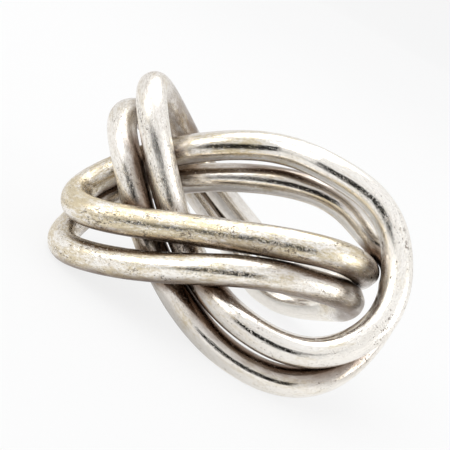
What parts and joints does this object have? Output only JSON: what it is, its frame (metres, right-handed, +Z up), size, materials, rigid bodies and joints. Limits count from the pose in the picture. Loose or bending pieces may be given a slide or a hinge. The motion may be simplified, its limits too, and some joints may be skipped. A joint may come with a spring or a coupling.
{
  "type": "knotted puzzle ring",
  "caption": "Puzzle ring of two loose closed loops of round silver wire, nested side by side through one open trefoil knot.",
  "frame": {"origin": "centre of the overall box in X and Y, on the floor plane that the lower loop's three rubbed flats rest on", "axes": "+Z up from the floor; +X from the left bend towards the right side of the big lobe; the pair of front bars faces -Y"},
  "size_m": [0.0306, 0.0254, 0.0191],
  "materials": {
    "lower_wire_loop": "worn polished silver, slightly tarnished",
    "upper_wire_loop": "worn polished silver, slightly tarnished"
  },
  "bodies": {
    "lower_loop": {"lower_wire_loop": "lower_wire_loop"},
    "upper_loop": {"upper_wire_loop": "upper_wire_loop"}
  },
  "joints": [
    {"name": "loop_rock", "type": "hinge", "parent": "lower_loop", "child": "upper_loop", "pos_m": [-0.0139, 0.0031, 0.016], "axis": [0.5081, -0.3691, -0.7782], "range_deg": [-1, 2.5]}
  ]
}
